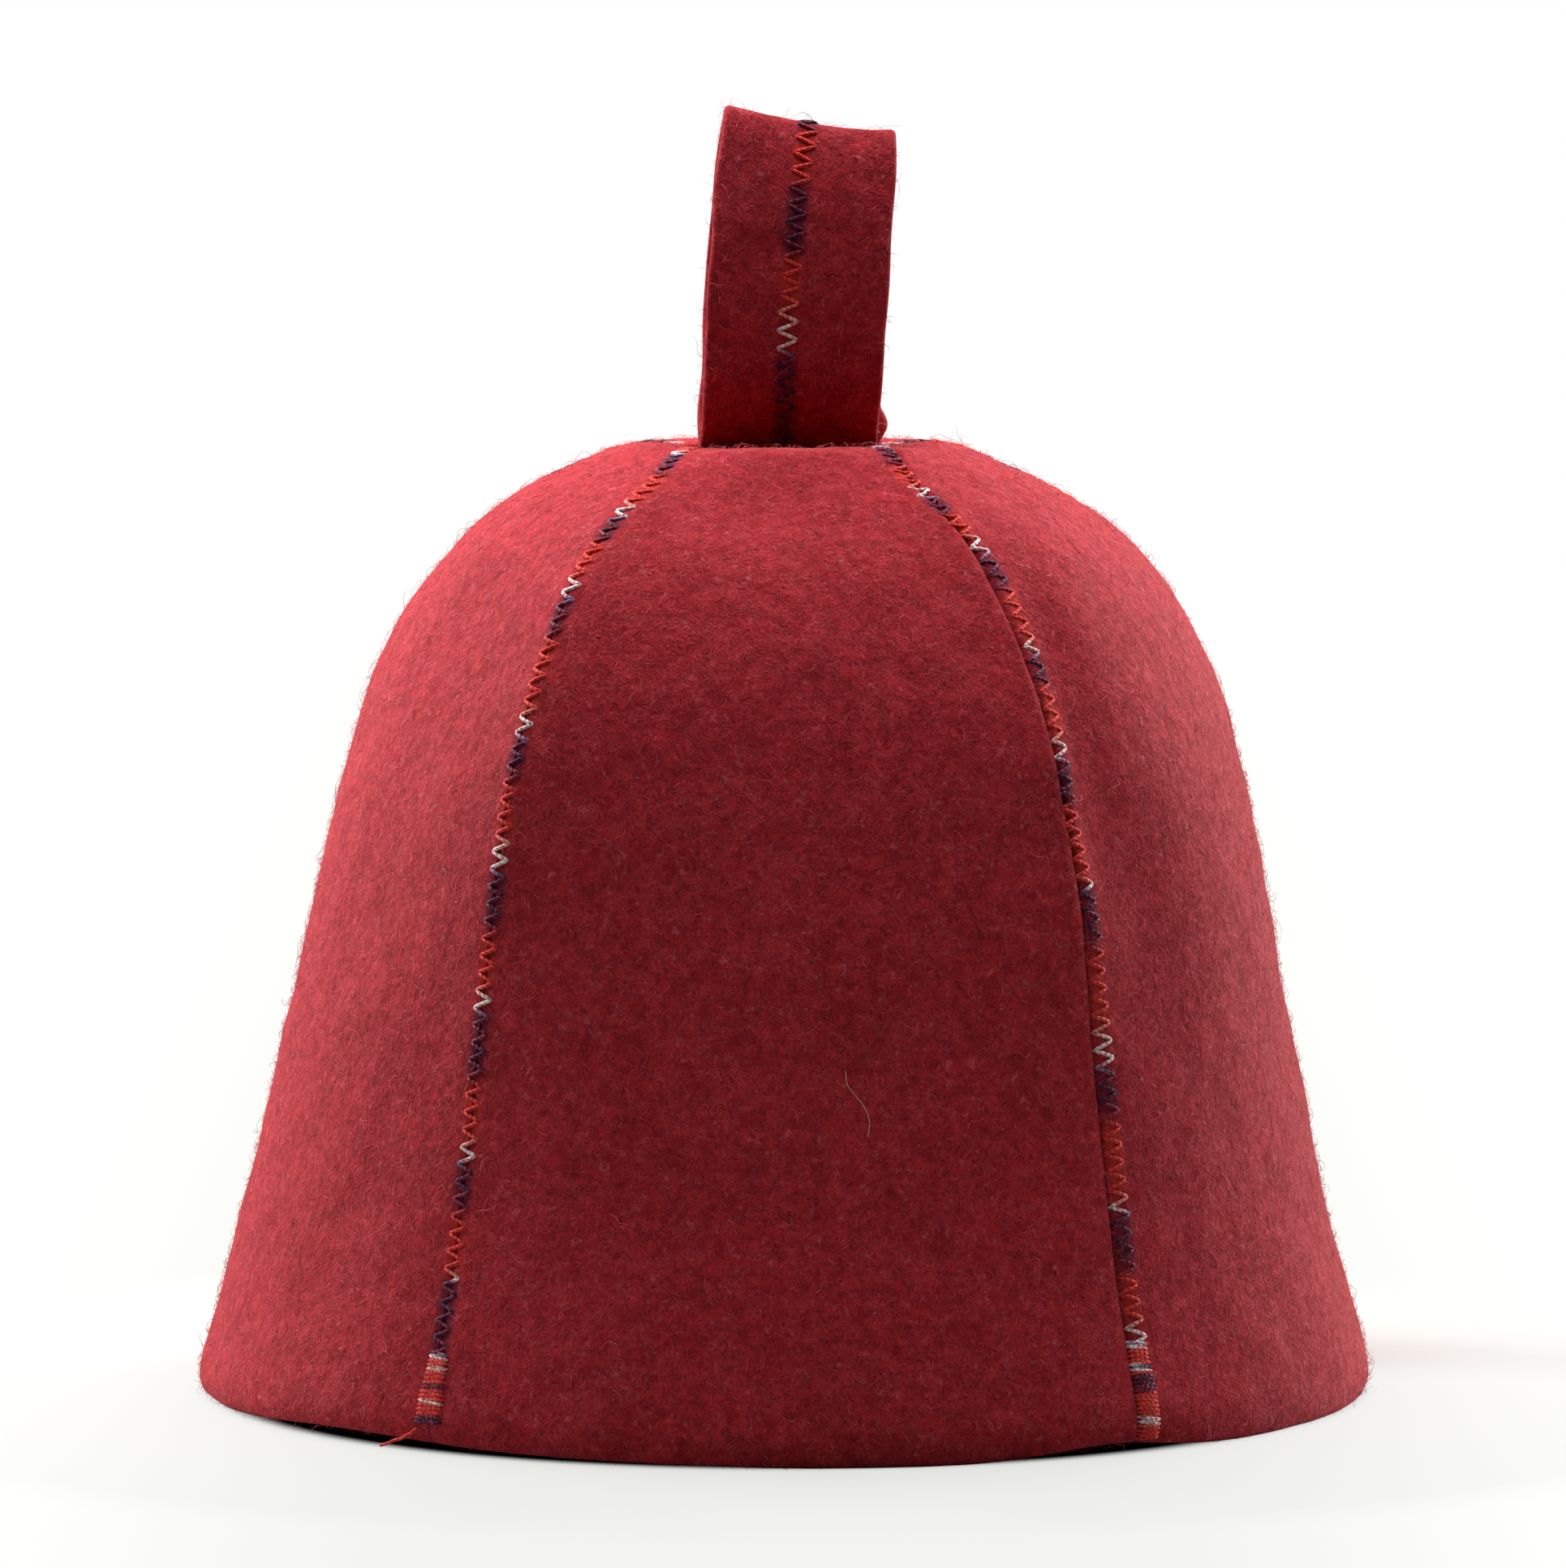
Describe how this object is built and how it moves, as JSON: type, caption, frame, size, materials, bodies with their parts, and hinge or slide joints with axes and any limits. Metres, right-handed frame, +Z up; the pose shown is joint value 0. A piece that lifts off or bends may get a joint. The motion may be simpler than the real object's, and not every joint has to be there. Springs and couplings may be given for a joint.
{
  "type": "wool sauna hat",
  "caption": "Bell-shaped felt sauna hat sewn from gores, with an open bottom, a rounded crown and a felt strap folded into a hanging loop at the top.",
  "frame": {"origin": "centre of the open rim, on the surface that the hat stands on", "axes": "+Z up from the rim to the loop, -Y towards the front of the hat, where the two front seams show, +X to the hat's right as seen from the front"},
  "size_m": [0.2388, 0.2388, 0.2633],
  "materials": {
    "felt": "milled wool felt, dark crimson with paler and darker fibres, matt and fuzzy",
    "loop_felt": "the same wool felt cut as a strap",
    "thread": "space-dyed sewing thread, running from orange-red through white to dark blue"
  },
  "bodies": {
    "root": {"crown_panel_front": "felt", "crown_panel_right": "felt", "crown_panel_rear_right": "felt", "crown_panel_rear_left": "felt", "crown_panel_left": "felt", "hanging_loop": "loop_felt"}
  },
  "joints": []
}
